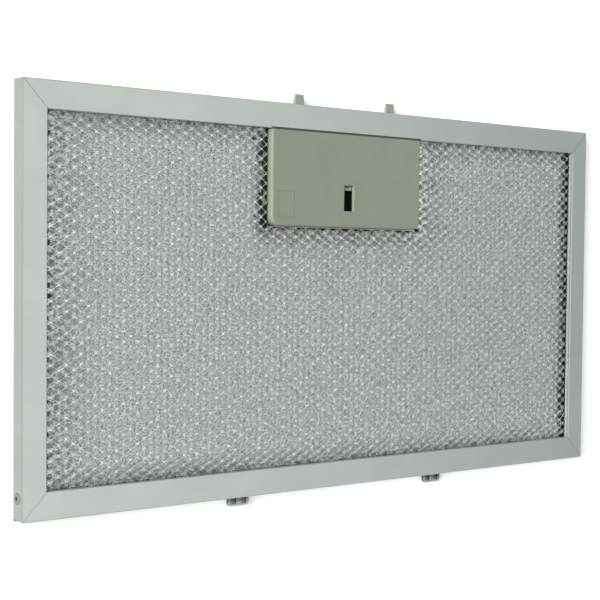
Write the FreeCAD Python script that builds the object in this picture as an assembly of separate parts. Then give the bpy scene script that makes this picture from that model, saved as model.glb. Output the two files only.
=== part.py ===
import FreeCAD, Part
import math
import os

from FreeCAD import Vector

# Cooker hood grease filter, lying on its rear flange with its front up.
# Millimetres: +X along the width, +Y towards the latch, +Z out of the front.
# The origin is the middle of the panel, on the surface that it lies on.

# Panel and the folded frame strip
panel_width = 450.0
panel_height = 225.0
panel_thickness = 9.0
flange_width = 15.0
strip_sheet = 0.55
inside_bend_radius = 0.3
inside_corner_radius = 1.0
mitre_gap = 0.15
seam_tab_length = 22.0
seam_gap = 0.05

# Blind rivet that closes the strip, placed above the lower edge
rivet_height = 12.2
rivet_shank_diameter = 3.2
rivet_head_diameter = 6.4
rivet_head_height = 0.6
rivet_upset_diameter = 4.6
rivet_upset_length = 1.6
rivet_core_diameter = 2.2
rivet_clearance = 0.05

# Filter pad: five expanded sheets, pinched at the rim and pillowed inside it
mesh_sheet = 0.4
rim_spacing = 0.1
rim_clearance = 0.3
pad_clearance = 0.4
pillow_recess = 1.0
rim_margin = 1.5
shoulder_width = 8.0
cell_length = 45.0
cell_height = 22.0
media_cell_length = 90.0
media_cell_height = 44.0
strand_width = 3.4
media_strand_width = 20.5
ridge_width = 1.2
ridge_height = 0.3
packing_gap = 0.3

# Latch housing, its rear cover and the tool slot
housing_width = 121.0
housing_drop = 70.7
housing_wall = 1.6
housing_corner_radius = 5.5
housing_edge_radius = 1.2
housing_clearance = 0.4
channel_clearance = 0.25
crease_gap = 0.3
cover_wall = 1.6
cover_recess = 0.3
slot_width = 7.6
slot_height = 15.1
slot_drop = 45.65
slot_bevel = 0.3
mark_width = 12.5
mark_height = 15.6
mark_inset = 5.0
mark_line = 0.5
mark_depth = 0.2
boss_inset = 6.0
boss_diameter = 5.0
peg_diameter = 2.4
peg_length = 3.5
peg_clearance = 0.05
guide_spacing = 52.0
guide_width = 1.6
guide_length = 28.0

# Sliding latch with its two prongs and the pull lip
prong_spacing = 74.0
prong_width = 7.3
prong_tip_width = 6.1
prong_thickness = 2.4
prong_tip_thickness = 1.2
prong_reach = 6.0
prong_clearance = 0.5
shoulder_overhang = 1.8
slide_clearance = 0.3
bridge_drop = 26.5
bridge_height = 10.0
lip_width = 6.0
lip_height = 2.45
lip_recess = 1.4
lip_scoop_radius = 2.2
lip_scoop_depth = 1.3

# Return spring, in a window of the slide and against a post of the housing
spring_diameter = 4.2
spring_wire = 0.5
spring_turns = 6
spring_steps = 12
spring_sides = 6
spring_length = 14.0
spring_end_gap = 0.1
spring_clearance = 0.4
spigot_diameter = 2.2
spigot_length = 3.0
post_height = 2.0
window_wall = 2.4

# Locating lugs below the lower edge
lug_spacing = 159.0
lug_width = 15.5
lug_reach = 5.2
lug_sheet = 1.2
lug_foot = 4.2
lug_corner_radius = 2.0
lug_bend_radius = 0.3
lug_setback = 5.0
lug_clearance = 0.3
lug_dish_margin = 2.2
lug_dish_depth = 0.6
lug_tongue_width = 3.6

# Places that follow from the sizes above
half_width = panel_width / 2
half_height = panel_height / 2
mid_depth = panel_thickness / 2
bend_radius = inside_bend_radius + strip_sheet
corner_radius = inside_corner_radius + strip_sheet
layer_pitch = mesh_sheet + rim_spacing
rim_stack = 5 * mesh_sheet + 4 * rim_spacing
lip_depth = (panel_thickness - rim_stack) / 2 - rim_clearance
pad_inset = strip_sheet + max(seam_gap + strip_sheet + rivet_upset_length, lug_sheet) + pad_clearance
window_x = half_width - flange_width
window_y = half_height - flange_width
flange_edge = window_y + bend_radius
seat_front = panel_thickness - strip_sheet - channel_clearance
seat_rear = strip_sheet + channel_clearance

housing_x = housing_width / 2
housing_bottom = half_height - housing_drop
housing_top = half_height - strip_sheet - channel_clearance
housing_step = flange_edge - crease_gap
parting = cover_recess + cover_wall
cavity_front = panel_thickness - housing_wall
slot_top = half_height - slot_drop
slot_bottom = slot_top - slot_height
boss_x = housing_x - boss_inset
boss_y = housing_bottom + boss_inset

latch_front = mid_depth + prong_thickness / 2
latch_rear = mid_depth - prong_thickness / 2
latch_shoulder = housing_top - housing_wall - slide_clearance
bridge_top = half_height - bridge_drop
bridge_bottom = bridge_top - bridge_height
bridge_x = prong_spacing / 2 + prong_width / 2 + shoulder_overhang
window_half = spring_diameter / 2 + spring_clearance
window_bottom = bridge_bottom + window_wall
spring_seat = window_bottom + slide_clearance + post_height
window_top = spring_seat + spring_length
guide_top = bridge_top + housing_wall


def block(x, y, z):
    """Box between three (low, high) pairs."""
    corner = Vector(x[0], y[0], z[0])
    return Part.makeBox(x[1] - x[0], y[1] - y[0], z[1] - z[0], corner)


def loop(points, height):
    """Closed level outline through (x, y) points."""
    corners = [Vector(x, y, height) for x, y in points]
    return Part.makePolygon(corners + corners[:1])


def prism(points, low, high):
    """Upright solid over an outline of (x, y) points."""
    return Part.Face(loop(points, low)).extrude(Vector(0, 0, high - low))


def rod(start, axis, diameter, length):
    """Round bar from a start point along an axis."""
    return Part.makeCylinder(diameter / 2, length, Vector(*start), Vector(*axis))


def edges_along(shape, direction):
    """Straight edges of a solid that run along a direction."""
    way = Vector(*direction)
    straight = [edge for edge in shape.Edges if isinstance(edge.Curve, Part.Line)]
    return [edge for edge in straight if abs(edge.Curve.Direction.dot(way)) > 0.999]


def mirrored_pair(shape):
    """A solid and its mirror image across the middle of the width."""
    return [shape, shape.mirror(Vector(0, 0, 0), Vector(1, 0, 0))]


def joined(shapes):
    """One solid from shapes that meet, with level seams removed."""
    return shapes[0].multiFuse(shapes[1:]).removeSplitter()


def rail(length):
    """Frame channel along X: web on y = 0, flanges along +Y with return lips, mitred ends."""
    span = (-length / 2, length / 2)
    outside = block(span, (0, flange_width), (0, panel_thickness))
    outside = outside.makeFillet(bend_radius, edges_along(outside, (1, 0, 0)))
    inner_y = (strip_sheet, flange_width - strip_sheet)
    inner_z = (strip_sheet, panel_thickness - strip_sheet)
    inside = block(span, inner_y, inner_z)
    inside = inside.makeFillet(inside_bend_radius, edges_along(inside, (1, 0, 0)))
    mouth = block(span, (inner_y[1] - strip_sheet, flange_width), (lip_depth, panel_thickness - lip_depth))
    outer = length / 2 - mitre_gap / math.sqrt(2)
    inner = outer - flange_width
    mitred = [(-outer, 0), (outer, 0), (inner, flange_width), (-inner, flange_width)]
    return outside.cut([inside, mouth]).common(prism(mitred, 0, panel_thickness))


def elbow(centre_x, centre_y, start_angle):
    """Quarter turn of the web round a folded corner."""
    height = panel_thickness - 2 * bend_radius
    base = Vector(centre_x, centre_y, bend_radius)
    up = Vector(0, 0, 1)
    outer = Part.makeCylinder(corner_radius, height, base, up, 90)
    inner = Part.makeCylinder(inside_corner_radius, height, base, up, 90)
    turn = outer.cut(inner)
    turn.rotate(base, up, start_angle)
    return turn


def prong_slot(depth):
    """Openings for both prongs, through the top web or the housing's top wall."""
    half = prong_width / 2 + prong_clearance
    across = (prong_spacing / 2 - half, prong_spacing / 2 + half)
    through = (latch_rear - slide_clearance, latch_front + slide_clearance)
    return mirrored_pair(block(across, depth, through))


def frame_channel():
    """The whole strip: four rails, folded corners, the riveted seam and its openings."""
    rails = []
    for turn, length, place in (
        (0, panel_width, (0, -half_height)),
        (90, panel_height, (half_width, 0)),
        (180, panel_width, (0, half_height)),
        (270, panel_height, (-half_width, 0)),
    ):
        side = rail(length)
        side.rotate(Vector(0, 0, 0), Vector(0, 0, 1), turn)
        side.translate(Vector(place[0], place[1], 0))
        rails.append(side)

    seam_x = -half_width + strip_sheet + seam_gap
    corner_x = half_width - corner_radius
    corner_y = half_height - corner_radius
    depth = (0, panel_thickness)
    web_z = (bend_radius, panel_thickness - bend_radius)
    reliefs = [
        block((corner_x, half_width), (corner_y, half_height), web_z),
        block((-half_width, -corner_x), (corner_y, half_height), web_z),
        block((corner_x, half_width), (-half_height, -corner_y), web_z),
        block((-half_width, seam_x + corner_radius), (-half_height, -corner_y), web_z),
    ]
    folds = [
        elbow(corner_x, corner_y, 0),
        elbow(-corner_x, corner_y, 90),
        elbow(seam_x + corner_radius, -corner_y, 180),
        elbow(corner_x, -corner_y, 270),
    ]
    tab = block((seam_x, seam_x + strip_sheet), (-corner_y, seam_tab_length - half_height), web_z)
    strip = [side.cut(reliefs) for side in rails]
    plan = block((-half_width, half_width), (-half_height, half_height), depth)
    plan = plan.makeFillet(corner_radius, edges_along(plan, (0, 0, 1)))
    frame = joined(strip + folds + [tab]).common(plan)

    rivet_hole = rod(
        (-half_width, rivet_height - half_height, mid_depth),
        (1, 0, 0),
        rivet_shank_diameter + 2 * rivet_clearance,
        flange_width,
    )
    notch_x = housing_x + housing_clearance
    lip_notch = block((-notch_x, notch_x), (window_y, flange_edge), depth)
    lug_z = (lug_front() - lug_sheet - lug_clearance, lug_front() + lug_clearance)
    lug_half = lug_width / 2 + lug_clearance
    lug_x = (lug_spacing / 2 - lug_half, lug_spacing / 2 + lug_half)
    lug_slots = mirrored_pair(block(lug_x, (-half_height, strip_sheet - half_height), lug_z))
    prong_slots = prong_slot((half_height - strip_sheet, half_height))
    return frame.cut([rivet_hole, lip_notch] + lug_slots + prong_slots)


def corner_rivet():
    """Blind rivet along X: bevelled head outside, upset end inside, hollow core."""
    grip = 2 * strip_sheet + seam_gap
    head = rivet_head_diameter / 2
    shank = rivet_shank_diameter / 2
    upset = rivet_upset_diameter / 2
    core = rivet_core_diameter / 2
    points = [
        Vector(-rivet_head_height, core, 0),
        Vector(-rivet_head_height, shank, 0),
        Vector(0, head, 0),
        Vector(0, shank, 0),
        Vector(grip, shank, 0),
        Vector(grip, upset, 0),
        Vector(grip + rivet_upset_length, shank, 0),
        Vector(grip + rivet_upset_length, 0, 0),
        Vector(grip, 0, 0),
        Vector(grip, core, 0),
    ]
    outline = Part.makePolygon(points + points[:1])
    rivet = Part.Face(outline).revolve(Vector(0, 0, 0), Vector(1, 0, 0), 360)
    rivet.translate(Vector(-half_width, rivet_height - half_height, mid_depth))
    return rivet


def pad_outline(x, y, notch_x, notch_y):
    """Sheet outline: a rectangle with the housing's notch in its upper edge."""
    return [
        (-x, -y), (x, -y), (x, y), (notch_x, y),
        (notch_x, notch_y), (-notch_x, notch_y), (-notch_x, y), (-x, y),
    ]


def inset_outline(inset):
    """Outline inside the frame's window and round the housing, set in by a margin."""
    return pad_outline(
        window_x - inset, window_y - inset, housing_x + inset, housing_bottom - inset,
    )


def diamond_gaps(length, height, strand, first_column):
    """Staggered diamond prisms that open a sheet, those that lie whole inside its level field."""
    half_x = length / 2
    half_y = height / 2
    reach = half_x * half_y / math.hypot(half_x, half_y)
    open_share = 1 - strand / 2 / reach
    wide = half_x * open_share
    tall = half_y * open_share
    edge = rim_margin + shoulder_width
    columns = int(panel_width / length) + 1
    rows = int(panel_height / height) + 1
    gaps = []
    for row in range(-rows, rows + 1):
        for column in range(-columns, columns + 1):
            x = (2 * column + row % 2 + first_column) * half_x
            y = row * half_y
            beyond = abs(x) + wide > window_x - edge or abs(y) + tall > window_y - edge
            notched = abs(x) - wide < housing_x + edge and y + tall > housing_bottom - edge
            if not beyond and not notched:
                corners = [(x - wide, y), (x, y - tall), (x + wide, y), (x, y + tall)]
                gaps.append(prism(corners, 0, panel_thickness))
    return gaps


def strand_ridges(field, level):
    """Raised backs of the strands along one diagonal, trimmed to the level field."""
    lean = -math.degrees(math.atan2(cell_height, cell_length))
    reach = math.hypot(panel_width, panel_height)
    count = int(panel_width / cell_length + panel_height / cell_height)
    across = (-ridge_width / 2, ridge_width / 2)
    ground = prism(field, level, level + ridge_height)
    ridges = []
    for step in range(-count, count):
        bar = block((-reach, reach), across, (level, level + ridge_height))
        bar.rotate(Vector(0, 0, 0), Vector(0, 0, 1), lean)
        bar.translate(Vector((step + 0.5) * cell_length, 0, 0))
        ridges += bar.common(ground).Solids
    return ridges


def expanded_sheet(layer, gaps, ridged):
    """One sheet of the pad in front of its middle: pinched rim, sloped shoulder, raised field."""
    middle_low = mid_depth - mesh_sheet / 2
    outer_low = panel_thickness - pillow_recess - mesh_sheet
    packed_low = outer_low - packing_gap - mesh_sheet
    rim_low = middle_low + layer * layer_pitch
    field_low = (middle_low, packed_low, outer_low)[layer]
    edge_x = half_width - pad_inset
    edge_y = half_height - pad_inset
    notch_x = housing_x + housing_clearance
    notch_y = housing_bottom - housing_clearance
    sheet = prism(pad_outline(edge_x, edge_y, notch_x, notch_y), rim_low, rim_low + mesh_sheet)
    foot = inset_outline(rim_margin)
    field = inset_outline(rim_margin + shoulder_width)
    if layer:
        rim_high = rim_low + mesh_sheet
        field_high = field_low + mesh_sheet
        crown = Part.makeLoft([loop(foot, rim_high), loop(field, field_high)], True, True)
        hollow = Part.makeLoft([loop(foot, rim_low), loop(field, field_low)], True, True)
        sheet = sheet.fuse(crown).cut(hollow)
    sheet = sheet.cut(gaps)
    if ridged:
        sheet = sheet.fuse(strand_ridges(field, field_low + mesh_sheet))
    return sheet.removeSplitter()


def behind(sheet):
    """The like sheet on the rear side of the pad's middle."""
    return sheet.mirror(Vector(0, 0, mid_depth), Vector(0, 0, 1))


def lower_rounded(blank, radius):
    """A block of the handle plate with its two lower corners rounded."""
    upright = edges_along(blank, (0, 0, 1))
    lower = [edge for edge in upright if edge.CenterOfMass.y < slot_bottom]
    return blank.makeFillet(radius, lower)


def housing_blank(low, high):
    """Plan of the handle plate with its two rounded lower corners."""
    blank = block((-housing_x, housing_x), (housing_bottom, housing_top), (low, high))
    return lower_rounded(blank, housing_corner_radius)


def softened(blank):
    """Rounded edges all round the plate's front face, apart from its upper edge."""
    around = []
    for edge in blank.Edges:
        on_front = edge.BoundBox.ZMin > panel_thickness - 0.001
        if on_front and edge.CenterOfMass.y < housing_step:
            around.append(edge)
    return blank.makeFillet(housing_edge_radius, around)


def guide_ribs(low, high):
    """Pair of ribs that the latch slides along."""
    across = (guide_spacing / 2 - guide_width / 2, guide_spacing / 2 + guide_width / 2)
    return mirrored_pair(block(across, (guide_top - guide_length, guide_top), (low, high)))


def latch_housing():
    """Moulded handle plate: open at the back, stepped to pass under the top flange."""
    shell = softened(housing_blank(parting, panel_thickness))
    across = (-housing_x, housing_x)
    step = block(across, (housing_step, housing_top), (seat_front, panel_thickness))
    inner_x = (housing_wall - housing_x, housing_x - housing_wall)
    inner_low = housing_bottom + housing_wall
    inner_top = housing_top - housing_wall
    ledge = housing_step - housing_wall
    hollow = block(inner_x, (inner_low, ledge), (parting, cavity_front))
    hollow = lower_rounded(hollow, housing_corner_radius - housing_wall)
    throat = block(inner_x, (ledge, inner_top), (parting, seat_front - housing_wall))
    shell = shell.cut([step, hollow, throat])

    post_half = window_half - slide_clearance
    post_y = (spring_seat - post_height, spring_seat)
    post = block((-post_half, post_half), post_y, (latch_rear, cavity_front))
    spigot = rod((0, spring_seat, mid_depth), (0, 1, 0), spigot_diameter, spigot_length)
    bosses = []
    bores = []
    for x in (-boss_x, boss_x):
        bosses.append(rod((x, boss_y, parting), (0, 0, 1), boss_diameter, cavity_front - parting))
        bore = peg_diameter + 2 * peg_clearance
        bores.append(rod((x, boss_y, parting), (0, 0, 1), bore, peg_length + peg_clearance))
    ribs = guide_ribs(latch_front + slide_clearance, cavity_front)
    shell = joined([shell, post, spigot] + bosses + ribs)

    across = slot_width / 2
    slot = block((-across, across), (slot_bottom, slot_top), (cavity_front, panel_thickness))
    mouth = []
    for spread, height in ((0, panel_thickness - slot_bevel), (slot_bevel, panel_thickness)):
        wide = across + spread
        low = slot_bottom - spread
        high = slot_top + spread
        mouth.append(loop([(-wide, low), (wide, low), (wide, high), (-wide, high)], height))
    bevel = Part.makeLoft(mouth, True, True)
    mark_x = (mark_inset - housing_x, mark_inset + mark_width - housing_x)
    mark_y = (housing_bottom + mark_inset, housing_bottom + mark_inset + mark_height)
    mark_z = (panel_thickness - mark_depth, panel_thickness)
    island_x = (mark_x[0] + mark_line, mark_x[1] - mark_line)
    island_y = (mark_y[0] + mark_line, mark_y[1] - mark_line)
    mark = block(mark_x, mark_y, mark_z).cut(block(island_x, island_y, mark_z))
    top_slots = prong_slot((inner_top, housing_top))
    return shell.cut(bores + [slot, bevel, mark] + top_slots)


def latch_back_cover():
    """Rear cover of the handle plate, with pegs for the bosses and ribs for the slide."""
    plate = housing_blank(cover_recess, parting)
    across = (-housing_x, housing_x)
    plate = plate.cut(block(across, (housing_step, housing_top), (cover_recess, seat_rear)))
    pegs = []
    for x in (-boss_x, boss_x):
        pegs.append(rod((x, boss_y, parting), (0, 0, 1), peg_diameter, peg_length))
    return joined([plate] + pegs + guide_ribs(parting, latch_rear - slide_clearance))


def prong():
    """Right-hand arm: a shouldered bar that ends in a tapered prong above the top edge."""
    centre = prong_spacing / 2
    arm_half = prong_width / 2 + shoulder_overhang
    depth = (latch_rear, latch_front)
    arm = block((centre - arm_half, centre + arm_half), (bridge_bottom, latch_shoulder), depth)
    half = prong_width / 2
    neck = block((centre - half, centre + half), (latch_shoulder, half_height), depth)
    sections = []
    for y, width, thickness in (
        (half_height, prong_width, prong_thickness),
        (half_height + prong_reach, prong_tip_width, prong_tip_thickness),
    ):
        front = latch_front - (prong_thickness - thickness) / 4
        corners = [
            Vector(centre - width / 2, y, front - thickness),
            Vector(centre + width / 2, y, front - thickness),
            Vector(centre + width / 2, y, front),
            Vector(centre - width / 2, y, front),
        ]
        sections.append(Part.makePolygon(corners + corners[:1]))
    return [arm, neck, Part.makeLoft(sections, True, True)]


def latch_slider():
    """Bridge with both prongs, the spring's window, and the tongue with its scooped pull lip."""
    depth = (latch_rear, latch_front)
    surround = window_half + window_wall
    pieces = [
        block((-bridge_x, bridge_x), (bridge_bottom, bridge_top), depth),
        block((-surround, surround), (bridge_bottom, window_top + window_wall), depth),
    ]
    for bar in prong():
        pieces += mirrored_pair(bar)
    lip_x = (-lip_width / 2, lip_width / 2)
    lip_top = slot_top - slide_clearance
    lip_bottom = lip_top - lip_height
    tongue = block(lip_x, (lip_bottom, bridge_bottom), depth)
    lip = block(lip_x, (lip_bottom, lip_top), (latch_front, panel_thickness - lip_recess))
    scoop_y = lip_top - lip_scoop_depth + lip_scoop_radius
    scoop = rod((0, scoop_y, latch_front), (0, 0, 1), 2 * lip_scoop_radius, panel_thickness - latch_front)
    pieces += [tongue, lip.cut(scoop)]
    window = block((-window_half, window_half), (window_bottom, window_top), depth)
    spigot = rod((0, window_top, mid_depth), (0, -1, 0), spigot_diameter, spigot_length)
    return joined([joined(pieces).cut(window), spigot])


def latch_spring():
    """Coil spring from the housing's post to the top of the slide's window, lofted in short steps."""
    half = spring_wire / 2
    coil = spring_diameter / 2 - half
    start = spring_seat + spring_end_gap + half
    rise = spring_length - 2 * (spring_end_gap + half)
    steps = spring_turns * spring_steps
    sections = []
    for step in range(steps + 1):
        around = 2 * math.pi * step / spring_steps
        corners = []
        for side in range(spring_sides):
            lean = 2 * math.pi * side / spring_sides
            radius = coil + half * math.cos(lean)
            y = start + rise * step / steps + half * math.sin(lean)
            corners.append(Vector(radius * math.cos(around), y, mid_depth + radius * math.sin(around)))
        sections.append(Part.makePolygon(corners + corners[:1]))
    return Part.makeLoft(sections, True, True)


def lug_front():
    """Height of the lugs' front face."""
    return panel_thickness - lug_setback


def locating_lug(centre):
    """Bent tab: a foot against the inside of the web, and a tab with two pressed pockets out through its slot."""
    x = (centre - lug_width / 2, centre + lug_width / 2)
    front = lug_front()
    rear = front - lug_sheet
    tip = -half_height - lug_reach
    seat = -half_height + strip_sheet
    tab = block(x, (tip, seat + lug_sheet), (rear, front))
    rounded = [edge for edge in edges_along(tab, (0, 0, 1)) if edge.CenterOfMass.y < -half_height]
    tab = tab.makeFillet(lug_corner_radius, rounded)
    foot = block(x, (seat, seat + lug_sheet), (rear, rear + lug_foot))
    lug = joined([tab, foot])
    heel = []
    for edge in edges_along(lug, (1, 0, 0)):
        middle = edge.CenterOfMass
        if abs(middle.y - seat - lug_sheet) < 0.001 and abs(middle.z - rear) < 0.001:
            heel.append(edge)
    lug = lug.makeFillet(lug_bend_radius, heel)
    dish_y = (tip + lug_dish_margin / 2, -half_height)
    dish_z = (front - lug_dish_depth, front)
    left_dish = block((x[0] + lug_dish_margin, centre - lug_tongue_width / 2), dish_y, dish_z)
    right_dish = block((centre + lug_tongue_width / 2, x[1] - lug_dish_margin), dish_y, dish_z)
    return lug.cut([left_dish, right_dish])


fine_gaps = diamond_gaps(cell_length, cell_height, strand_width, 0)
media_gaps = diamond_gaps(media_cell_length, media_cell_height, media_strand_width, 1)
middle_gaps = diamond_gaps(media_cell_length, media_cell_height, media_strand_width, 0)
front_mesh = expanded_sheet(2, fine_gaps, True)
media_front = expanded_sheet(1, media_gaps, False)

nodes = {
    "frame_channel": frame_channel(),
    "corner_rivet": corner_rivet(),
    "front_mesh": front_mesh,
    "media_layer_front": media_front,
    "media_layer_middle": expanded_sheet(0, middle_gaps, False),
    "media_layer_rear": behind(media_front),
    "rear_mesh": behind(front_mesh),
    "latch_housing": latch_housing(),
    "latch_back_cover": latch_back_cover(),
    "latch_slider": latch_slider(),
    "latch_spring": latch_spring(),
    "locating_lug_left": locating_lug(-lug_spacing / 2),
    "locating_lug_right": locating_lug(lug_spacing / 2),
}

os.makedirs("parts", exist_ok=True)
for name, shape in nodes.items():
    shape.exportStep(f"parts/{name}.step")
    print(name, shape.ShapeType, len(shape.Solids), "solids", round(shape.Volume, 1), "mm3", shape.isValid())
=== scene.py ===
# %% [markdown]
# # A cooker hood grease filter
# A folded aluminium strip frames a pad of expanded foil, and a moulded plate on one edge carries a sprung
# latch. The strip, the rivet, the plate with its cover, the slide and the lugs are solids of the part itself,
# and they only get their finishes here. The foil and the spring are too fine for plain solids, so they are
# modelled again, strand by strand.
# The part lies on its back with its front up. X runs to the right in the picture, and Y runs up in it.

import math

import bmesh
import bpy
import numpy as np
from mathutils import Matrix, Vector


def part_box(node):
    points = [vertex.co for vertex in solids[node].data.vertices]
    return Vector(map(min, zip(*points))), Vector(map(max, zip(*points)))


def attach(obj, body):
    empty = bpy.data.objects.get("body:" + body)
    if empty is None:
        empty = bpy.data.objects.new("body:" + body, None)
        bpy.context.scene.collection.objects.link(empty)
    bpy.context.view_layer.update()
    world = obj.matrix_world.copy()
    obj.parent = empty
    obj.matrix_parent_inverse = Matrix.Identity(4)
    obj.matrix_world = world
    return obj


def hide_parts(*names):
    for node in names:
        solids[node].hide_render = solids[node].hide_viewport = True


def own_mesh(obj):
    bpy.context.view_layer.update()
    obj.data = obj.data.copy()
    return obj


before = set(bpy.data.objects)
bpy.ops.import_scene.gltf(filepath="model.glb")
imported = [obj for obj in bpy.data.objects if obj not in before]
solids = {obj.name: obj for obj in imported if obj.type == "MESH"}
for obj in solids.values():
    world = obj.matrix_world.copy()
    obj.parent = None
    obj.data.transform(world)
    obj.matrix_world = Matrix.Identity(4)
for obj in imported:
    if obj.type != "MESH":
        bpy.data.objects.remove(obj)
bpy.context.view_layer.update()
mm = 0.001
print("solids:", ", ".join(sorted(solids)))

# %% [markdown]
# ## Working by selection
# An operator acts on whatever is selected, and the loaded solids arrive selected.
# So each piece starts with nothing selected, and its edges or faces are then picked by where they are.

# %% Selection helpers


def start_fresh():
    """Back to object mode with nothing selected."""
    if bpy.context.mode != "OBJECT":
        bpy.ops.object.mode_set(mode="OBJECT")
    bpy.ops.object.select_all(action="DESELECT")


def pick(piece, kind, test):
    """In edit mode, select the edges or faces whose middle passes a test."""
    bpy.ops.mesh.select_all(action="DESELECT")
    mesh = bmesh.from_edit_mesh(piece.data)
    for element in getattr(mesh, kind):
        middle = sum((corner.co for corner in element.verts), Vector()) / len(element.verts)
        if test(middle):
            element.select_set(True)
    bmesh.update_edit_mesh(piece.data)


def apply_all(piece):
    """Make every modifier of a piece part of its mesh."""
    start_fresh()
    piece.select_set(True)
    bpy.context.view_layer.objects.active = piece
    for modifier in list(piece.modifiers):
        bpy.ops.object.modifier_apply(modifier=modifier.name)


# %% [markdown]
# ## Finishes
# Every finish is a few shader nodes on Object coordinates, so it stays put when a piece moves.
# A flat colour would look like paint. Metal and plastic differ from it by their grain: a fine noise changes
# the roughness and tilts the surface slightly, which the eye reads as anodised, rolled or moulded.
# The nodes could be wired one by one in each finish, but a few helpers keep the finishes short.

# %% Sums, ranges and places as nodes


def value_node(tree, operation, first, second=None, third=None):
    """The result of one operation on sockets and plain numbers."""
    node = tree.nodes.new("ShaderNodeMath")
    node.operation = operation
    for socket, value in zip(node.inputs, (first, second, third)):
        if isinstance(value, bpy.types.NodeSocket):
            tree.links.new(value, socket)
        elif value is not None:
            socket.default_value = value
    return node.outputs[0]


def between(tree, value, low, high, to_low, to_high):
    """Carry a value from one range to another, held at both ends."""
    ranged = tree.nodes.new("ShaderNodeMapRange")
    for name, number in zip(("From Min", "From Max", "To Min", "To Max"), (low, high, to_low, to_high)):
        ranged.inputs[name].default_value = number
    tree.links.new(value, ranged.inputs["Value"])
    return ranged.outputs["Result"]


def axis_of(tree, vector, name):
    """The X, Y or Z of a vector."""
    axes = tree.nodes.new("ShaderNodeSeparateXYZ")
    tree.links.new(vector, axes.inputs["Vector"])
    return axes.outputs[name]


def stored(tree, name):
    """A value that was written on the points of a mesh."""
    attribute = tree.nodes.new("ShaderNodeAttribute")
    attribute.attribute_name = name
    return attribute.outputs["Fac"]


# %% [markdown]
# A noise node gives values round one half, and most of them lie in a short stretch about it.
# So the roughness is spread over that stretch, and a colour ramp has its two ends within reach of the middle.

# %% Grain, colour and relief as nodes
noise_low = 0.3
noise_high = 0.7


def new_finish(name):
    """A node material with its shader and Object coordinates at hand."""
    material = bpy.data.materials.new(name)
    material.use_nodes = True
    tree = material.node_tree
    coordinates = tree.nodes.new("ShaderNodeTexCoord")
    return material, tree, tree.nodes["Principled BSDF"], coordinates.outputs["Object"]


def grain(tree, place, waves, detail=2.0):
    """Noise with a number of waves per metre."""
    noise = tree.nodes.new("ShaderNodeTexNoise")
    noise.inputs["Scale"].default_value = waves
    noise.inputs["Detail"].default_value = detail
    tree.links.new(place, noise.inputs["Vector"])
    return noise.outputs["Fac"]


def around_zero(tree, noise):
    """Move a noise from round one half to round zero, and double it."""
    return value_node(tree, "MULTIPLY_ADD", noise, 2.0, -1.0)


def polish(tree, shader, noise, smooth, rough):
    """Let a noise change the roughness between two values."""
    tree.links.new(between(tree, noise, noise_low, noise_high, smooth, rough), shader.inputs["Roughness"])


def tint(tree, noise, dark, light, reach=0.2):
    """A colour between two, which a noise runs through within a reach of its middle."""
    ramp = tree.nodes.new("ShaderNodeValToRGB")
    for stop, position, colour in zip(ramp.color_ramp.elements, (0.5 - reach, 0.5 + reach), (dark, light)):
        stop.position = position
        stop.color = (*colour, 1)
    tree.links.new(noise, ramp.inputs["Fac"])
    return ramp.outputs["Color"]


def roughen(tree, shader, noise, height):
    """Tilt the surface by a noise of a given height."""
    bump = tree.nodes.new("ShaderNodeBump")
    bump.inputs["Distance"].default_value = height
    tree.links.new(noise, bump.inputs["Height"])
    tree.links.new(bump.outputs["Normal"], shader.inputs["Normal"])


def darken(tree, shader, colour, share):
    """Give a shader a colour that is scaled by a share."""
    shaded = tree.nodes.new("ShaderNodeVectorMath")
    shaded.operation = "SCALE"
    tree.links.new(colour, shaded.inputs["Vector"])
    tree.links.new(share, shaded.inputs["Scale"])
    tree.links.new(shaded.outputs["Vector"], shader.inputs["Base Color"])


# %% [markdown]
# ### Strip
# The strip looks satin anodised: a pale, faintly green grey with a soft sheen and hardly any drawn lines.
# Its lips turn in towards the pad and look dull there, as if from grease, so they are less of a mirror.
# They could get a second material on picked faces. But their place tells where they are, so one finish reads
# the place, and is less metallic below the flange and near the window.

# %% Strip finish
frame_low, frame_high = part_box("frame_channel")
flange = 15 * mm
window_x = frame_high.x - flange
window_y = frame_high.y - flange


def satin_strip():
    """Anodised strip, dulled on the lips that hold the pad."""
    material, tree, shader, place = new_finish("satin_strip")
    lip_low = frame_high.z - 1.1 * mm
    lip_high = frame_high.z - 0.7 * mm
    lip = between(tree, axis_of(tree, place, "Z"), lip_low, lip_high, 1.0, 0.0)
    for axis, edge in (("X", window_x), ("Y", window_y)):
        offset = value_node(tree, "ABSOLUTE", axis_of(tree, place, axis))
        inside = between(tree, offset, edge + 1 * mm, edge + 2 * mm, 1.0, 0.0)
        lip = value_node(tree, "MULTIPLY", lip, inside)
    dulled = 0.45
    tree.links.new(value_node(tree, "MULTIPLY_ADD", lip, -dulled, 1.0), shader.inputs["Metallic"])
    cloud = grain(tree, place, waves=35)
    colour = tint(tree, cloud, dark=(0.56, 0.60, 0.555), light=(0.60, 0.64, 0.595))
    tree.links.new(colour, shader.inputs["Base Color"])
    fine = grain(tree, place, waves=1400)
    polish(tree, shader, fine, smooth=0.34, rough=0.42)
    roughen(tree, shader, fine, height=0.01 * mm)
    return material


strip_finish = satin_strip()
print("strip finish for a window of", round(2 * window_x / mm), "x", round(2 * window_y / mm), "mm")

# %% [markdown]
# ### Rivet, wire and lugs
# The rivet, the spring's wire and the lugs are formed metal with a livelier grain than the strip.
# The rivet looks dull and dark, so it is only half metallic.
# The lugs get painted shade in their pressed pockets, and a painted shadow towards the strip, whose flange
# shades them. That could be painted by hand, but depth and distance tell where the shade lies, and a noise
# breaks up its edge.

# %% Rivet, wire and lug finishes


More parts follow.
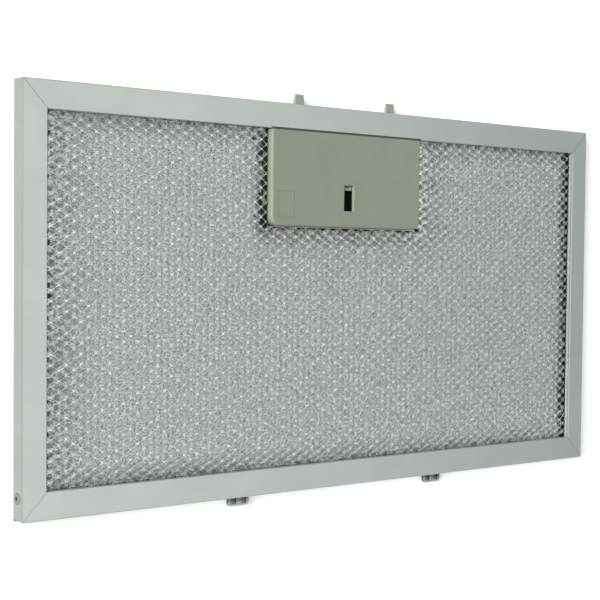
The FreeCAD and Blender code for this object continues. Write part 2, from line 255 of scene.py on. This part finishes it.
def formed_metal(name, dark, light, metallic=1.0):
    """Bent, drawn or upset metal with a fine grain."""
    material, tree, shader, place = new_finish(name)
    shader.inputs["Metallic"].default_value = metallic
    fine = grain(tree, place, waves=1800)
    colour = tint(tree, fine, dark, light)
    tree.links.new(colour, shader.inputs["Base Color"])
    polish(tree, shader, fine, smooth=0.28, rough=0.45)
    roughen(tree, shader, fine, height=0.02 * mm)
    return material, tree, shader, place, colour


def punched_tab():
    """Tab of the lugs, with painted shade in its pressed pockets and a painted shadow towards the strip."""
    material, tree, shader, place, colour = formed_metal(
        "punched_tab", dark=(0.36, 0.38, 0.36), light=(0.54, 0.565, 0.54)
    )
    tab_front = 4.0 * mm
    pocket_shade_share = 0.5
    shadow_share = 0.45
    shadow_start = frame_low.y - 1.9 * mm
    shadow_full = frame_low.y - 0.7 * mm
    ragged = 3 * mm
    depth = axis_of(tree, place, "Z")
    # Painted shade on the pocket floors and a painted shadow towards the strip darken the colour.
    pocket_shade = between(tree, depth, tab_front - 0.5 * mm, tab_front - 0.1 * mm, pocket_shade_share, 1.0)
    uneven = grain(tree, place, waves=700)
    edge = value_node(tree, "MULTIPLY_ADD", uneven, ragged, axis_of(tree, place, "Y"))
    painted_shadow = between(tree, edge, shadow_start, shadow_full, 1.0, shadow_share)
    darken(tree, shader, colour, value_node(tree, "MULTIPLY", pocket_shade, painted_shadow))
    return material


rivet_finish = formed_metal("formed_rivet", (0.19, 0.21, 0.18), (0.28, 0.30, 0.27), metallic=0.5)[0]
wire_finish = formed_metal("drawn_wire", (0.42, 0.42, 0.43), (0.56, 0.56, 0.57))[0]
lug_finish = punched_tab()
print("made", rivet_finish.name, wire_finish.name, lug_finish.name)

# %% [markdown]
# ### Plastic
# The plate and the slide are moulded in an olive grey plastic with a fine, even grain. The rear cover isn't
# in the photograph, and a nearly black plastic is a guess for it. It gets a nearly black plastic so that
# the inside of the slot looks shaded, which is painted shade.
# The colour of a moulding is even, so a broad, faint cloud is enough for it.
# Where the plate goes under the strip there is a dark line of shade, and it is painted. It could be a thin
# piece of its own, but it follows the edge of the window, so the finish paints the shade there by itself.

# %% Plastic finishes


def moulded_plastic(name, dark, light):
    """Plastic with the fine grain of its mould."""
    material, tree, shader, place = new_finish(name)
    cloud = grain(tree, place, waves=60)
    colour = tint(tree, cloud, dark, light)
    tree.links.new(colour, shader.inputs["Base Color"])
    fine = grain(tree, place, waves=1500)
    polish(tree, shader, fine, smooth=0.46, rough=0.58)
    roughen(tree, shader, fine, height=0.03 * mm)
    return material, tree, shader, place, colour


def moulded_plate():
    """Handle plate, with a painted shade along the strip's edge."""
    material, tree, shader, place, colour = moulded_plastic(
        "moulded_plate", dark=(0.227, 0.256, 0.200), light=(0.243, 0.273, 0.214)
    )
    crease_shade_share = 0.25
    upward = axis_of(tree, place, "Y")
    # Painted shade: a dark line where the plate goes under the strip's flange.
    crease_shade = between(tree, upward, window_y - 0.6 * mm, window_y - 0.3 * mm, 1.0, crease_shade_share)
    darken(tree, shader, colour, crease_shade)
    return material


plate_finish = moulded_plate()
slide_finish = moulded_plastic("moulded_slide", (0.275, 0.30, 0.235), (0.30, 0.325, 0.255))[0]
# A nearly black colour stands in for the shade inside the slot: painted shade.
shade_cover_finish = moulded_plastic("shade_dark_cover", (0.018, 0.019, 0.018), (0.026, 0.027, 0.025))[0]
print("made", plate_finish.name, slide_finish.name, shade_cover_finish.name)

# %% [markdown]
# ### Dressing the solids
# These solids are fine enough as they are. They could be modelled over, but that would only copy them.
# Each keeps its mesh and its place, and the new finish goes into the material slot that it came with.

# %% Dress the solids
for node, finish in (
    ("frame_channel", strip_finish),
    ("corner_rivet", rivet_finish),
    ("latch_housing", plate_finish),
    ("latch_back_cover", shade_cover_finish),
    ("latch_slider", slide_finish),
    ("locating_lug_left", lug_finish),
    ("locating_lug_right", lug_finish),
):
    solids[node].material_slots[0].material = finish
    print(node, "wears", finish.name)

# %% [markdown]
# ## Expanded foil
# Expanded metal is slit in staggered rows and pulled open. Each slit becomes a diamond and each strand a
# ribbon, and the uncut bonds between the slits hold the ribbons together.
# It could be a net of round wires, but the real strands are flat, and they mirror light as small faces do.
# So one bond with the two strands to its right is drawn out of a small plane, and arrays repeat it over the
# pad. A second bond half a cell along and half a cell up gives the staggered row.

# %% One bond with its strands
cell_long = 9.0 * mm
cell_short = 5.5 * mm
slack = 0.1


def draw_strand(reach, segments):
    """Pull the selected edge of a bond out into a strand, in equal segments."""
    step = tuple(value / segments for value in reach)
    for segment in range(segments):
        bpy.ops.mesh.extrude_region_move(TRANSFORM_OT_translate={"value": step})


def bond_with_strands(name, strand, rise, bond, segments):
    """A bond with the strands to its two right-hand neighbours, and the same again in the next row."""
    start_fresh()
    bpy.ops.mesh.primitive_plane_add(size=1)
    unit = bpy.context.object
    unit.name = name
    bpy.ops.object.mode_set(mode="EDIT")
    bpy.ops.mesh.select_mode(type="EDGE")
    bpy.ops.mesh.select_all(action="SELECT")
    bpy.ops.transform.resize(value=(bond, strand, 1))
    bpy.ops.transform.translate(value=(0, strand / 2, 0))
    pick(unit, "edges", lambda middle: middle.y > strand * (1 - slack))
    bpy.ops.transform.translate(value=(0, 0, rise))
    pick(unit, "edges", lambda middle: middle.y < strand * slack)
    bpy.ops.mesh.extrude_region_move(TRANSFORM_OT_translate={"value": (0, -strand, -rise)})
    across = cell_long / 2 - bond
    climb = cell_short / 2 - strand
    pick(unit, "edges", lambda middle: middle.x > bond * (0.5 - slack) and middle.y > 0)
    draw_strand((across, climb, -rise), segments)
    pick(unit, "edges", lambda middle: abs(middle.x - bond / 2) < bond * slack and middle.y < 0)
    draw_strand((across, -climb, rise), segments)
    bpy.ops.mesh.select_all(action="SELECT")
    bpy.ops.mesh.duplicate_move(TRANSFORM_OT_translate={"value": (cell_long / 2, cell_short / 2, 0)})
    start_fresh()
    return unit


# %% [markdown]
# ### Outline of the pad
# The pad fills the strip and goes round the plate, so each sheet is cut to the outline of the front sheet's
# solid. A boolean could do it, but straight cuts are simpler on thousands of ribbons: the field is bisected
# along its four sides, then along three lines round the plate, and what lies between those is deleted.

# %% Trim a sheet
plate_low, plate_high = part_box("latch_housing")
sheet_low, sheet_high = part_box("front_mesh")
plate_gap = 0.4 * mm
notch_x = plate_high.x + plate_gap
notch_y = plate_low.y - plate_gap


def trim(piece):
    """Cut a field of strands to the pad's outline, in edit mode."""
    bpy.ops.mesh.select_mode(type="FACE")
    for place, outward in (
        ((sheet_high.x, 0, 0), (1, 0, 0)),
        ((sheet_low.x, 0, 0), (-1, 0, 0)),
        ((0, sheet_high.y, 0), (0, 1, 0)),
        ((0, sheet_low.y, 0), (0, -1, 0)),
    ):
        bpy.ops.mesh.select_all(action="SELECT")
        bpy.ops.mesh.bisect(plane_co=place, plane_no=outward, clear_outer=True)
    for place, outward in (
        ((notch_x, 0, 0), (1, 0, 0)),
        ((-notch_x, 0, 0), (-1, 0, 0)),
        ((0, notch_y, 0), (0, 1, 0)),
    ):
        bpy.ops.mesh.select_all(action="SELECT")
        bpy.ops.mesh.bisect(plane_co=place, plane_no=outward)
    pick(piece, "faces", lambda middle: abs(middle.x) < notch_x and middle.y > notch_y)
    bpy.ops.mesh.delete(type="FACE")


print("notch for the plate", round(2 * notch_x / mm, 1), "mm wide")

# %% [markdown]
# ### Pillow of the pad
# The sheets are pinched between the strip's lips and drawn apart inside them, so each has a rim level and a
# field level. A lattice modifier could bulge them, but the distance to the nearest edge gives the form
# directly: a smooth shoulder all round, also beside the plate. At the rim the ribbons are pressed flatter.

# %% Pillow a sheet
mid_depth = (frame_low.z + frame_high.z) / 2


def rim_distance(places, left=1, right=1, rails=1, below=1):
    """Distance to the strip or the plate, whichever is nearest, in units of each side's reach."""
    across = places[:, 0]
    along = places[:, 1]
    to_stiles = np.minimum((window_x + across) / left, (window_x - across) / right)
    to_rails = (window_y - np.abs(along)) / rails
    beside = np.maximum(plate_low.x - across, 0) / right + np.maximum(across - plate_high.x, 0) / left
    under = np.maximum(plate_low.y - along, 0) / below
    return np.minimum(np.minimum(to_stiles, to_rails), np.hypot(beside, under))


def pillow(piece, rim, field, margin, shoulder):
    """Lift a sheet from its rim level to its field level, and give back where its points are."""
    places = np.empty(len(piece.data.vertices) * 3)
    piece.data.vertices.foreach_get("co", places)
    places = places.reshape(-1, 3)
    share = np.clip((rim_distance(places) - margin) / shoulder, 0, 1)
    share = share * share * (3 - 2 * share)
    pressed = 0.3
    places[:, 2] = rim + (field - rim) * share + places[:, 2] * (pressed + (1 - pressed) * share)
    piece.data.vertices.foreach_set("co", places.ravel())
    piece.data.update()
    return places


# %% [markdown]
# ### Layers of the pad
# All five sheets are made alike, on diamonds of one size, and differ in how wide and how crumpled their
# ribbons are. A layer could be copied from another, but pressed foil is never regular, so each is a field of
# bonds with a disorder of its own. It is trimmed while it is still level. After it has its pillow it gets the
# thickness of a ribbon, and takes the place of its plain solid.

# %% Make a layer
spare_cells = 3
weld = 0.01 * mm
evenness = 0.3
foil_wall = 0.18 * mm


def repeat(piece, count, step):
    """Add a row of copies of a piece, one step apart."""
    array = piece.modifiers.new("repeat", "ARRAY")
    array.count = count
    array.use_relative_offset = False
    array.use_constant_offset = True
    array.constant_offset_displace = step


def foil_layer(node, strand, rise, bond, segments, shift, crumple):
    """A field of strands over the whole pad, trimmed and still level."""
    sheet = bond_with_strands(node + "_foil", strand, rise, bond, segments)
    columns = int((sheet_high.x - sheet_low.x) / cell_long) + spare_cells
    rows = int((sheet_high.y - sheet_low.y) / cell_short) + spare_cells
    repeat(sheet, columns, (cell_long, 0, 0))
    repeat(sheet, rows, (0, cell_short, 0))
    apply_all(sheet)
    bpy.ops.object.mode_set(mode="EDIT")
    bpy.ops.mesh.select_all(action="SELECT")
    bpy.ops.mesh.remove_doubles(threshold=weld)
    bpy.ops.transform.translate(value=((shift - columns // 2) * cell_long, -(rows // 2) * cell_short, 0))
    bpy.ops.transform.vertex_random(offset=crumple, uniform=evenness, seed=int(100 * shift))
    trim(sheet)
    start_fresh()
    return sheet


def finish_layer(sheet, node, finish):
    """Give a sheet its thickness, finish and place in the part."""
    wall = sheet.modifiers.new("wall", "SOLIDIFY")
    wall.thickness = foil_wall
    wall.offset = 0
    apply_all(sheet)
    sheet.data.materials.clear()
    sheet.data.materials.append(finish)
    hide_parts(node)
    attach(sheet, "panel")
    triangles = sum(len(face.vertices) - 2 for face in sheet.data.polygons)
    print(node, "has", triangles, "triangles")


# %% [markdown]
# ### Light on the foil
# In the photograph the strands of one diagonal are lighter than those of the other, more so on the right.
# It could come from ribbons that lean, but the leans that were tried gave thin bright lines or no diagonal.
# So that light is painted: the foil's colour follows the same lattice as the mesh.
# A product of two cosines is 1 on the bonds and -1 in the openings. A single slanted cosine, sharpened to a
# crest, runs along the strands of one diagonal.

# %% Foil that follows the lattice


def bright_foil(name, dark, light, crinkle):
    """Rolled foil with fine crinkles, and a colour that is still to be laid on."""
    material, tree, shader, place = new_finish(name)
    shader.inputs["Metallic"].default_value = 1.0
    fine = grain(tree, place, waves=1200, detail=5.0)
    polish(tree, shader, fine, smooth=0.36, rough=0.54)
    roughen(tree, shader, fine, crinkle)
    return material, tree, shader, place, tint(tree, fine, dark, light, reach=0.1)


def diamond_wave(tree, place):
    """A value of 1 on the bonds of the front sheet and -1 in the middle of its openings."""
    waves = []
    for axis, pitch in (("X", cell_long), ("Y", cell_short)):
        angle = value_node(tree, "MULTIPLY", axis_of(tree, place, axis), 2 * math.pi / pitch)
        waves.append(value_node(tree, "COSINE", angle))
    return value_node(tree, "MULTIPLY", waves[0], waves[1])


def across_pad(tree, place, left, right):
    """A value that changes evenly from the left of the pad to its right."""
    return between(tree, axis_of(tree, place, "X"), -window_x, window_x, left, right)


def strand_light(tree, place):
    """A share that is highest along one diagonal's strands, and livelier towards the right."""
    crest_start = 0.3
    crest_full = 0.95
    trough = -0.35
    rising = across_pad(tree, place, 0.1, 0.33)
    falling = across_pad(tree, place, 0.0, 0.08)
    lit = across_pad(tree, place, 0.97, 1.05)
    column = value_node(tree, "MULTIPLY", axis_of(tree, place, "X"), 2 * math.pi / cell_long)
    row = axis_of(tree, place, "Y")
    for slant, strength in ((-1, rising), (1, falling)):
        phase = value_node(tree, "MULTIPLY_ADD", row, slant * 2 * math.pi / cell_short, column)
        wave = value_node(tree, "COSINE", phase)
        crest = between(tree, wave, crest_start, crest_full, trough, 1.0)
        lit = value_node(tree, "MULTIPLY_ADD", crest, strength, lit)
    uneven = around_zero(tree, grain(tree, place, waves=650))
    return value_node(tree, "MULTIPLY_ADD", uneven, across_pad(tree, place, 0.0, 0.9), lit)


# %% [markdown]
# ### Outer sheets
# The two outer sheets are open nets of narrow ribbons, one on each side of the pad.
# Their bonds get painted highlights, so they look lighter than their strands, some more than others. Lighter
# bonds could be pieces of their own, but the two cosines already tell where each bond is, and a noise makes
# them differ.

# %% Outer sheets


def bright_strands():
    """Outer foil: its bonds get painted highlights, lighter than its strands, some more than others."""
    material, tree, shader, place, colour = bright_foil(
        "bright_strands", dark=(0.54, 0.575, 0.535), light=(0.70, 0.735, 0.695), crinkle=0.1 * mm
    )
    strand_share = 0.75
    # Painted highlights on the bonds, some brighter than others.
    bonds = between(tree, diamond_wave(tree, place), 0.0, 0.8, 0.0, 1.0)
    glint = between(tree, grain(tree, place, waves=220), 0.35, 0.65, 0.1, 0.75)
    lightened = value_node(tree, "MULTIPLY_ADD", bonds, glint, strand_share)
    darken(tree, shader, colour, value_node(tree, "MULTIPLY", lightened, strand_light(tree, place)))
    return material


rim_pitch = 0.5 * mm
outer_level = 3.1 * mm
outer_strand = 0.5 * mm
outer_bond = 0.9 * mm
outer_lean = 0.02 * mm
outer_crumple = 0.06 * mm
strand_finish = bright_strands()
for node, side, shift in (("front_mesh", 1, 0.0), ("rear_mesh", -1, 1.0)):
    sheet = foil_layer(node, outer_strand, side * outer_lean, outer_bond, 1, shift, outer_crumple)
    rim = mid_depth + side * 2 * rim_pitch
    pillow(sheet, rim, mid_depth + side * outer_level, margin=0.2 * mm, shoulder=5 * mm)
    finish_layer(sheet, node, strand_finish)

# %% [markdown]
# ### Inner layers
# The inner layers are wide, crumpled ribbons that nearly close. Two lie close behind the outer sheets, and
# one in the middle. Towards its rim the pad gets patches of painted light and shade, most widely on the left,
# and at the rim painted shade, most widely on the right. Both could be modelled as torn foil, but at this
# size they are only seen as light and dark. So each point is told how far it is from the rim on both
# scales, and the finish paints the light and shade from that.

# %% Inner layers
# Reaches of the painted shade at the rim and of the band of painted light and shade near it.
rim_shade_reach = {"left": 5 * mm, "right": 18 * mm, "rails": 1 * mm, "below": 4 * mm}
hollow_shade_reach = {"left": 45 * mm, "right": 28 * mm, "rails": 12 * mm, "below": 30 * mm}


def mark_rim(piece, places):
    """Write on each point how far it is out of the painted shade at the rim and out of the band of painted
    light and shade.
    """
    out_of_rim_shade = np.clip(rim_distance(places, **rim_shade_reach), 0, 1)
    near = 1 - np.clip(rim_distance(places, **hollow_shade_reach), 0, 1)
    for name, values in (("out_of_rim_shade", out_of_rim_shade), ("away", 1 - near * near)):
        attribute = piece.data.attributes.new(name, "FLOAT", "POINT")
        attribute.data.foreach_set("value", values)


def packed_foil():
    """Inner foil: bright in the field, with patches of painted light and shade near the rim and painted shade
    at it.
    """
    material, tree, shader, place, colour = bright_foil(
        "packed_foil", dark=(0.355, 0.388, 0.35), light=(0.76, 0.80, 0.755), crinkle=0.25 * mm
    )
    patch_strength = 2.0
    rim_shade_weave = 0.15
    rim_shade_share = 0.12
    hollow_shade_weave = 0.22
    hollow_shade_share = 0.2
    painted_light_share = 1.25
    # Painted shade at the rim, and painted light and shade in patches near it, scale the foil's colour.
    diamonds = diamond_wave(tree, place)
    patches = grain(tree, place, waves=260)
    patchy = value_node(tree, "MULTIPLY_ADD", patches, patch_strength, stored(tree, "out_of_rim_shade"))
    rim_shade_pattern = value_node(tree, "MULTIPLY_ADD", diamonds, rim_shade_weave, patchy)
    rim_shade = between(tree, rim_shade_pattern, 1.2, 1.4, rim_shade_share, 1.0)
    uneven = around_zero(tree, grain(tree, place, waves=480))
    opened = value_node(tree, "MULTIPLY_ADD", diamonds, hollow_shade_weave, uneven)
    hollow_shading = between(tree, opened, -0.3, 0.3, hollow_shade_share, painted_light_share)
    away = stored(tree, "away")
    band_shading = value_node(tree, "MULTIPLY_ADD", hollow_shading, value_node(tree, "SUBTRACT", 1.0, away), away)
    painted_shading = value_node(tree, "MULTIPLY", rim_shade, band_shading)
    darken(tree, shader, colour, value_node(tree, "MULTIPLY", painted_shading, strand_light(tree, place)))
    return material


packed_level = 2.72 * mm
inner_strand = 2.73 * mm
inner_bond = 1.9 * mm
inner_crumple = 0.2 * mm
media_finish = packed_foil()
for node, layer, rise, shift in (
    ("media_layer_front", 1, -0.13 * mm, 0.5),
    ("media_layer_middle", 0, 0.22 * mm, 0.3),
    ("media_layer_rear", -1, 0.22 * mm, 0.7),
):
    sheet = foil_layer(node, inner_strand, rise, inner_bond, 2, shift, inner_crumple)
    rim = mid_depth + layer * rim_pitch
    places = pillow(sheet, rim, mid_depth + layer * packed_level, margin=1 * mm, shoulder=11 * mm)
    mark_rim(sheet, places)
    finish_layer(sheet, node, media_finish)

# %% [markdown]
# ## Return spring
# A latch like this has a coil of round wire that pushes it out.
# It could be a curve with a bevel, but a ring of points swept by a screw modifier gives an even, closed mesh.
# The screw climbs along Z, so the coil is first closed at its ends and then laid along the latch.

# %% Coil
spring_low, spring_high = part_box("latch_spring")
wire = 0.5 * mm
turns = 6
ring_points = 10
steps_per_turn = 20
coil_weld = 0.005 * mm
coil_radius = (spring_high.x - spring_low.x) / 2 - wire / 2
coil_length = spring_high.y - spring_low.y - wire
start_fresh()
bpy.ops.mesh.primitive_circle_add(vertices=ring_points, radius=wire / 2)
coil = bpy.context.object
coil.name = "return_coil"
bpy.ops.object.mode_set(mode="EDIT")
bpy.ops.mesh.select_all(action="SELECT")
bpy.ops.transform.rotate(value=math.pi / 2, orient_axis="X", center_override=(0, 0, 0))
bpy.ops.transform.translate(value=(coil_radius, 0, 0))
start_fresh()
screw = coil.modifiers.new("screw", "SCREW")
screw.axis = "Z"
screw.angle = 2 * math.pi
screw.screw_offset = coil_length / turns
screw.iterations = turns
screw.steps = steps_per_turn
screw.render_steps = steps_per_turn
screw.use_merge_vertices = True
apply_all(coil)
bpy.ops.object.mode_set(mode="EDIT")
bpy.ops.mesh.select_all(action="SELECT")
bpy.ops.mesh.remove_doubles(threshold=coil_weld)
bpy.ops.mesh.fill_holes(sides=ring_points + 2)
bpy.ops.mesh.select_all(action="SELECT")
bpy.ops.mesh.normals_make_consistent(inside=False)
bpy.ops.transform.rotate(value=math.pi / 2, orient_axis="X", center_override=(0, 0, 0))
start_fresh()
print("coil with", turns, "turns and", len(coil.data.polygons), "faces")

# %% [markdown]
# The coil lies where its plain solid lay, and moves with the panel. When the latch is drawn back, the slide
# presses it against its post. It is left stiff, so the slide would run into it.

# %% Seat the coil
low = min(corner[1] for corner in coil.bound_box)
coil.data.transform(Matrix.Translation((0, spring_low.y - low, mid_depth)))
coil.data.materials.append(wire_finish)
coil.select_set(True)
bpy.context.view_layer.objects.active = coil
bpy.ops.object.shade_smooth()
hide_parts("latch_spring")
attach(coil, "panel")
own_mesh(coil)

# %% [markdown]
# ## Stage
# The filter lies on a plain white table. Stronger lamps could make the table white, but they would make the
# strip too bright as well. So the table shines a little for the camera alone: it reads as white paper and
# still takes the shadow.

# %% Table
table_size = 8
table_gap = 0.2 * mm
paper_white = 0.84
glow_strength = 0.36


def white_table():
    """White paper with a faint glow that only the camera sees."""
    material = bpy.data.materials.new("white_table")
    material.use_nodes = True
    tree = material.node_tree
    tree.nodes.clear()
    output = tree.nodes.new("ShaderNodeOutputMaterial")
    paper = tree.nodes.new("ShaderNodeBsdfDiffuse")
    paper.inputs["Color"].default_value = (paper_white, paper_white, paper_white, 1)
    glow = tree.nodes.new("ShaderNodeEmission")
    rays = tree.nodes.new("ShaderNodeLightPath")
    level = value_node(tree, "MULTIPLY", rays.outputs["Is Camera Ray"], glow_strength)
    tree.links.new(level, glow.inputs["Strength"])
    both = tree.nodes.new("ShaderNodeAddShader")
    tree.links.new(paper.outputs[0], both.inputs[0])
    tree.links.new(glow.outputs[0], both.inputs[1])
    tree.links.new(both.outputs[0], output.inputs["Surface"])
    return material


start_fresh()
bpy.ops.mesh.primitive_plane_add(size=table_size, location=(0, 0, frame_low.z - table_gap))
table = bpy.context.object
table.name = "table"
table.data.materials.append(white_table())
print("table", table_size, "m wide")

# %% [markdown]
# The sky is white to the camera and an even grey as a light. Metal needs something to mirror, though: under
# an even sky the strip would look like grey card. Lamps could be set up to be mirrored, but a graded sky has
# no edges. So mirrored rays meet a sky that brightens from the left to beyond the top, and is dark low on the
# right, which shades the strip from its left side to its right. Low towards both ends of Y it is dimmer too.

# %% Sky


def mirrored_sky(tree, direction):
    """The sky that metal mirrors: graded from left to right, and dimmed towards both ends of Y."""
    grading = tree.nodes.new("ShaderNodeValToRGB")
    stops = grading.color_ramp.elements
    low_left = (0.72, 0.72, 0.72, 1)
    top = (0.95, 0.95, 0.95, 1)
    beyond_top = (1.17, 1.17, 1.17, 1)
    low_right = (0.19, 0.22, 0.24, 1)
    stops[0].color = low_left
    stops[1].color = low_right
    for sine, colour in ((0.0, top), (0.6, beyond_top), (0.84, low_right)):
        stops.new((sine + 1) / 2).color = colour
    rightward = between(tree, axis_of(tree, direction, "X"), -1.0, 1.0, 0.0, 1.0)
    tree.links.new(rightward, grading.inputs["Fac"])
    endward = value_node(tree, "ABSOLUTE", axis_of(tree, direction, "Y"))
    dimmed = tree.nodes.new("ShaderNodeVectorMath")
    dimmed.operation = "SCALE"
    tree.links.new(grading.outputs["Color"], dimmed.inputs["Vector"])
    tree.links.new(between(tree, endward, 0.5, 0.95, 1.0, 0.4), dimmed.inputs["Scale"])
    print("sky with", len(stops), "stops")
    return dimmed.outputs["Vector"]


def colour_switch(tree, kind):
    """A mix of two colours that the kind of a ray switches."""
    mix = tree.nodes.new("ShaderNodeMix")
    mix.data_type = "RGBA"
    tree.links.new(kind, mix.inputs["Factor"])
    return mix


world = bpy.data.worlds.new("studio")
bpy.context.scene.world = world
world.use_nodes = True
tree = world.node_tree
direction = tree.nodes.new("ShaderNodeTexCoord")
rays = tree.nodes.new("ShaderNodeLightPath")
lit = colour_switch(tree, rays.outputs["Is Glossy Ray"])
lit.inputs["A"].default_value = (0.40, 0.40, 0.40, 1)
tree.links.new(mirrored_sky(tree, direction.outputs["Generated"]), lit.inputs["B"])
seen = colour_switch(tree, rays.outputs["Is Camera Ray"])
seen.inputs["B"].default_value = (1, 1, 1, 1)
tree.links.new(lit.outputs["Result"], seen.inputs["A"])
tree.links.new(seen.outputs["Result"], tree.nodes["Background"].inputs["Color"])

# %% [markdown]
# ## Camera and lamp
# The camera stands to the left, as in the photograph, with a long lens, so the strip's sides stay nearly
# parallel. It could be turned until the filter sits right, but that would change the view. A small shift of
# the lens moves the picture instead.

# %% Camera
camera_data = bpy.data.cameras.new("camera")
camera_data.sensor_width = 36
camera_data.lens = 93.54
camera_data.shift_y = 0.05
camera = bpy.data.objects.new("camera", camera_data)
bpy.context.scene.collection.objects.link(camera)
camera_place = Vector((-0.6409, 0.0210, 0.6871))
camera_aim = Vector((-0.0382, -0.0183, 0.0090))
camera_roll = math.radians(-0.563)
ahead = (camera_aim - camera_place).normalized()
right = ahead.cross(Vector((0, 1, 0))).normalized()
up = right.cross(ahead)
turn = Matrix((right, up, -ahead)).transposed().to_4x4()
camera.matrix_world = Matrix.Translation(camera_place) @ turn @ Matrix.Rotation(-camera_roll, 4, "Z")
bpy.context.scene.camera = camera
print("camera", round((camera_aim - camera_place).length, 3), "m away")

# %% [markdown]
# One soft lamp shines from the left. A lamp close by would light the table unevenly, so it is a distant one,
# with a wide angle for soft shadows. Metal doesn't mirror it, because that would put bright spots on it.

# %% Lamp
lamp_place = Vector((-1.5, 0.25, 0.64))
lamp_aim = Vector((-0.1, 0, 0))
lamp_data = bpy.data.lights.new("soft_lamp", "SUN")
lamp_data.angle = math.radians(31)
lamp_data.energy = 5.0
lamp = bpy.data.objects.new("soft_lamp", lamp_data)
bpy.context.scene.collection.objects.link(lamp)
lamp.location = lamp_place
lamp.rotation_euler = (lamp_aim - lamp_place).to_track_quat("-Z", "Y").to_euler()
lamp.visible_glossy = False
bpy.context.scene.view_settings.view_transform = "Standard"
print("lamp", round(math.degrees(lamp_data.angle)), "degrees wide")
